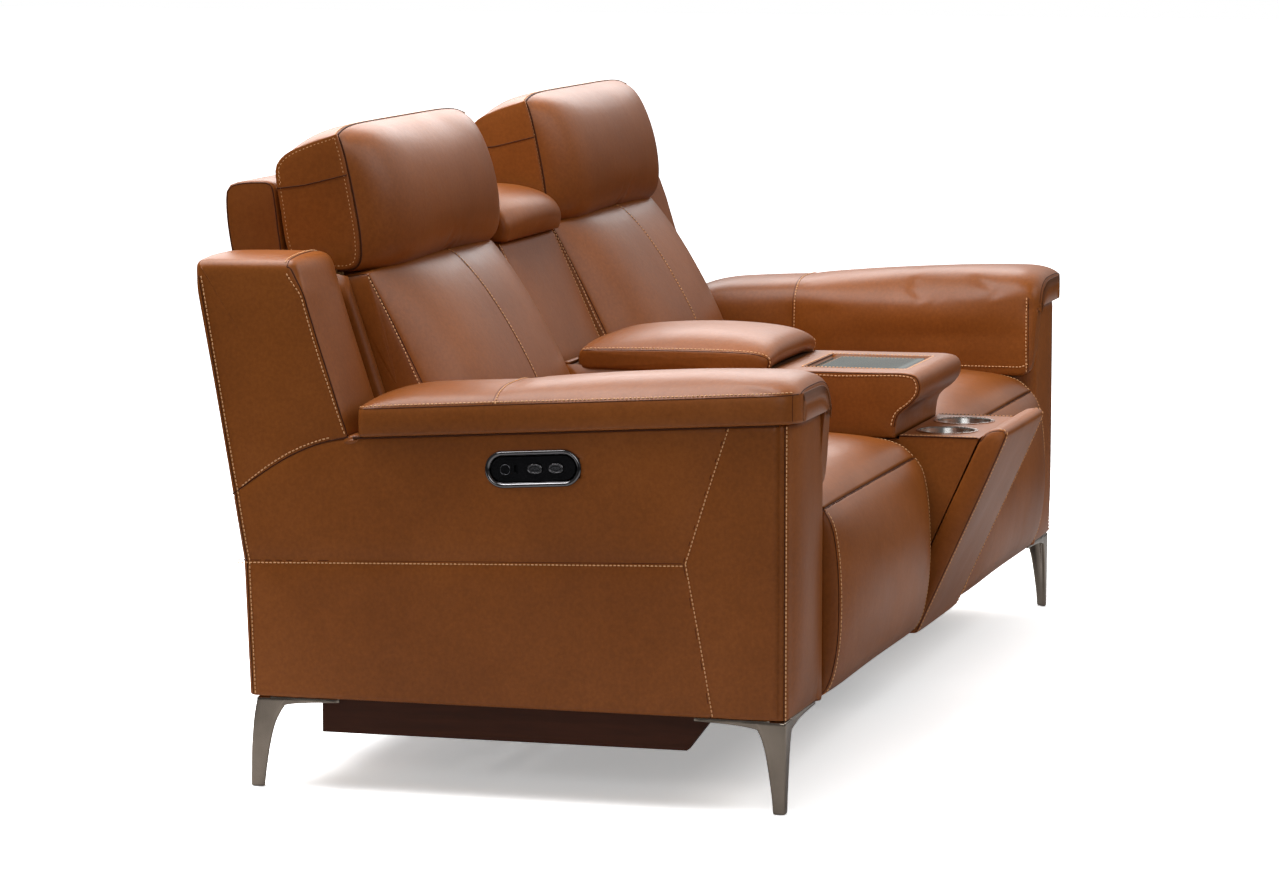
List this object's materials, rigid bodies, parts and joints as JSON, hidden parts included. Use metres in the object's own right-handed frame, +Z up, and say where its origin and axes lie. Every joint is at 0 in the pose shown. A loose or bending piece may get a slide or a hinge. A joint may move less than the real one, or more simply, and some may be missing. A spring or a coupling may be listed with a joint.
{
  "type": "power reclining sofa",
  "caption": "Leather power reclining sofa with slanted wings, adjustable headrests, folding leg rests and a console with lidded storage and cup holders.",
  "frame": {"origin": "on the floor, under the middle of the bounding box", "axes": "+X along the sofa's width, to the right as seen from the front; +Y to the rear; +Z up"},
  "size_m": [2.028, 1.0746, 0.9713],
  "materials": {
    "tan_leather": "satin",
    "back_leather": "satin",
    "leg_metal": "polished",
    "rim_metal": "polished",
    "cup_steel": "satin",
    "link_steel": "satin",
    "rail_steel": "matte",
    "carcass_wood": "matte",
    "skirt_board": "satin",
    "tinted_glass": "polished",
    "black_plastic": "gloss",
    "rocker_metal": "satin"
  },
  "bodies": {
    "sofa": {"left_outer_panel": "tan_leather", "right_outer_panel": "tan_leather", "left_wing_pad": "tan_leather", "right_wing_pad": "tan_leather", "left_arm_pad": "tan_leather", "right_arm_pad": "tan_leather", "arm_inner_panels": "tan_leather", "arm_frames": "carcass_wood", "legs": "leg_metal", "base_rails": "skirt_board", "cross_rails": "rail_steel", "rear_panel": "tan_leather", "side_plates": "link_steel", "control_bezels": "rim_metal", "control_faces": "black_plastic", "console_carcass": "carcass_wood", "console_nose": "tan_leather", "console_glass": "tinted_glass", "console_tray": "tan_leather", "cup_holders": "cup_steel", "console_front_board": "tan_leather", "console_back": "tan_leather", "console_roll": "tan_leather", "seat_frames": "carcass_wood", "left_seat_cushion": "tan_leather", "right_seat_cushion": "tan_leather", "recline_motors": "rail_steel"},
    "left_back": {"left_back_frame": "carcass_wood", "left_back_cushion": "tan_leather", "left_back_shell": "back_leather"},
    "left_headrest": {"left_headrest_bracket": "link_steel", "left_headrest_cushion": "tan_leather"},
    "left_rear_lift": {"left_rear_lift_link": "link_steel"},
    "left_rear_cross": {"left_rear_cross_link": "link_steel"},
    "left_front_lift": {"left_front_lift_link": "link_steel"},
    "left_front_cross": {"left_front_cross_link": "link_steel"},
    "left_guide": {"left_guide_link": "link_steel"},
    "left_carriage": {"left_drive_carriage": "rocker_metal"},
    "left_footrest": {"left_footrest_board": "carcass_wood", "left_footrest_pad": "tan_leather"},
    "left_power": {"left_power_button": "black_plastic"},
    "left_recline_switch": {"left_recline_rocker": "rocker_metal"},
    "left_headrest_switch": {"left_headrest_rocker": "rocker_metal"},
    "right_back": {"right_back_frame": "carcass_wood", "right_back_cushion": "tan_leather", "right_back_shell": "back_leather"},
    "right_headrest": {"right_headrest_bracket": "link_steel", "right_headrest_cushion": "tan_leather"},
    "right_rear_lift": {"right_rear_lift_link": "link_steel"},
    "right_rear_cross": {"right_rear_cross_link": "link_steel"},
    "right_front_lift": {"right_front_lift_link": "link_steel"},
    "right_front_cross": {"right_front_cross_link": "link_steel"},
    "right_guide": {"right_guide_link": "link_steel"},
    "right_carriage": {"right_drive_carriage": "rocker_metal"},
    "right_footrest": {"right_footrest_board": "carcass_wood", "right_footrest_pad": "tan_leather"},
    "right_power": {"right_power_button": "black_plastic"},
    "right_recline_switch": {"right_recline_rocker": "rocker_metal"},
    "right_headrest_switch": {"right_headrest_rocker": "rocker_metal"},
    "console_lid": {"console_lid": "tan_leather"}
  },
  "joints": [
    {"name": "left_recline", "type": "hinge", "parent": "sofa", "child": "left_back", "pos_m": [-0.481, 0.332, 0.35], "axis": [-1, 0, 0], "range_deg": [0, 30]},
    {"name": "left_headrest_tilt", "type": "hinge", "parent": "left_back", "child": "left_headrest", "pos_m": [-0.481, 0.252, 0.7], "axis": [1, 0, 0], "range_deg": [0, 30]},
    {"name": "left_rear_lift_pivot", "type": "hinge", "parent": "sofa", "child": "left_rear_lift", "pos_m": [-0.481, -0.263, 0.115], "axis": [1, 0, 0], "range_deg": [0, 76]},
    {"name": "left_rear_cross_pivot", "type": "hinge", "parent": "left_rear_lift", "child": "left_rear_cross", "pos_m": [-0.481, -0.24978, 0.20908], "axis": [-1, 0, 0], "range_deg": [0, 152]},
    {"name": "left_front_cross_pivot", "type": "hinge", "parent": "left_rear_lift", "child": "left_front_cross", "pos_m": [-0.481, -0.23656, 0.30315], "axis": [-1, 0, 0], "range_deg": [0, 152]},
    {"name": "left_front_lift_pivot", "type": "hinge", "parent": "left_rear_cross", "child": "left_front_lift", "pos_m": [-0.481, -0.28227, 0.1198], "axis": [1, 0, 0], "range_deg": [0, 152]},
    {"name": "left_footrest_pivot", "type": "hinge", "parent": "left_front_lift", "child": "left_footrest", "pos_m": [-0.481, -0.25583, 0.30796], "axis": [-1, 0, 0], "range_deg": [0, 152]},
    {"name": "left_guide_pivot", "type": "hinge", "parent": "left_front_cross", "child": "left_guide", "pos_m": [-0.481, -0.30154, 0.12461], "axis": [1, 0, 0], "range_deg": [0, 152]},
    {"name": "left_carriage_slide", "type": "slide", "parent": "sofa", "child": "left_carriage", "axis": [0, -1, 0], "range_m": [0, 0.0863]},
    {"name": "left_power_press", "type": "slide", "parent": "sofa", "child": "left_power", "axis": [1, 0, 0], "range_m": [0, 0.0015], "stiffness_N_per_m": 300},
    {"name": "left_recline_switch_rock", "type": "hinge", "parent": "sofa", "child": "left_recline_switch", "pos_m": [-0.996, -0.01099, 0.49118], "axis": [0, 0, 1], "range_deg": [-5, 5], "stiffness_Nm_per_rad": 0.5},
    {"name": "left_headrest_switch_rock", "type": "hinge", "parent": "sofa", "child": "left_headrest_switch", "pos_m": [-0.996, -0.04294, 0.49314], "axis": [0, 0, 1], "range_deg": [-5, 5], "stiffness_Nm_per_rad": 0.5},
    {"name": "right_recline", "type": "hinge", "parent": "sofa", "child": "right_back", "pos_m": [0.481, 0.332, 0.35], "axis": [-1, 0, 0], "range_deg": [0, 30]},
    {"name": "right_headrest_tilt", "type": "hinge", "parent": "right_back", "child": "right_headrest", "pos_m": [0.481, 0.252, 0.7], "axis": [1, 0, 0], "range_deg": [0, 30]},
    {"name": "right_rear_lift_pivot", "type": "hinge", "parent": "sofa", "child": "right_rear_lift", "pos_m": [0.481, -0.263, 0.115], "axis": [1, 0, 0], "range_deg": [0, 76]},
    {"name": "right_rear_cross_pivot", "type": "hinge", "parent": "right_rear_lift", "child": "right_rear_cross", "pos_m": [0.481, -0.24978, 0.20908], "axis": [-1, 0, 0], "range_deg": [0, 152]},
    {"name": "right_front_cross_pivot", "type": "hinge", "parent": "right_rear_lift", "child": "right_front_cross", "pos_m": [0.481, -0.23656, 0.30315], "axis": [-1, 0, 0], "range_deg": [0, 152]},
    {"name": "right_front_lift_pivot", "type": "hinge", "parent": "right_rear_cross", "child": "right_front_lift", "pos_m": [0.481, -0.28227, 0.1198], "axis": [1, 0, 0], "range_deg": [0, 152]},
    {"name": "right_footrest_pivot", "type": "hinge", "parent": "right_front_lift", "child": "right_footrest", "pos_m": [0.481, -0.25583, 0.30796], "axis": [-1, 0, 0], "range_deg": [0, 152]},
    {"name": "right_guide_pivot", "type": "hinge", "parent": "right_front_cross", "child": "right_guide", "pos_m": [0.481, -0.30154, 0.12461], "axis": [1, 0, 0], "range_deg": [0, 152]},
    {"name": "right_carriage_slide", "type": "slide", "parent": "sofa", "child": "right_carriage", "axis": [0, -1, 0], "range_m": [0, 0.0863]},
    {"name": "right_power_press", "type": "slide", "parent": "sofa", "child": "right_power", "axis": [-1, 0, 0], "range_m": [0, 0.0015], "stiffness_N_per_m": 300},
    {"name": "right_recline_switch_rock", "type": "hinge", "parent": "sofa", "child": "right_recline_switch", "pos_m": [0.996, -0.01099, 0.49118], "axis": [0, 0, 1], "range_deg": [-5, 5], "stiffness_Nm_per_rad": 0.5},
    {"name": "right_headrest_switch_rock", "type": "hinge", "parent": "sofa", "child": "right_headrest_switch", "pos_m": [0.996, -0.04294, 0.49314], "axis": [0, 0, 1], "range_deg": [-5, 5], "stiffness_Nm_per_rad": 0.5},
    {"name": "lid_hinge", "type": "hinge", "parent": "sofa", "child": "console_lid", "pos_m": [0, 0.178, 0.557], "axis": [-1, 0, 0], "range_deg": [0, 70]}
  ],
  "couplings": [
    {"joint": "left_rear_lift_pivot", "follows": "left_recline", "ratio": 2.5333},
    {"joint": "left_rear_cross_pivot", "follows": "left_recline", "ratio": 5.0666},
    {"joint": "left_front_cross_pivot", "follows": "left_recline", "ratio": 5.0666},
    {"joint": "left_front_lift_pivot", "follows": "left_recline", "ratio": 5.0666},
    {"joint": "left_footrest_pivot", "follows": "left_recline", "ratio": 5.0666},
    {"joint": "left_guide_pivot", "follows": "left_recline", "ratio": 5.0666},
    {"joint": "left_carriage_slide", "follows": "left_recline", "m_per_rad": 0.1646},
    {"joint": "right_rear_lift_pivot", "follows": "right_recline", "ratio": 2.5333},
    {"joint": "right_rear_cross_pivot", "follows": "right_recline", "ratio": 5.0666},
    {"joint": "right_front_cross_pivot", "follows": "right_recline", "ratio": 5.0666},
    {"joint": "right_front_lift_pivot", "follows": "right_recline", "ratio": 5.0666},
    {"joint": "right_footrest_pivot", "follows": "right_recline", "ratio": 5.0666},
    {"joint": "right_guide_pivot", "follows": "right_recline", "ratio": 5.0666},
    {"joint": "right_carriage_slide", "follows": "right_recline", "m_per_rad": 0.1646}
  ]
}
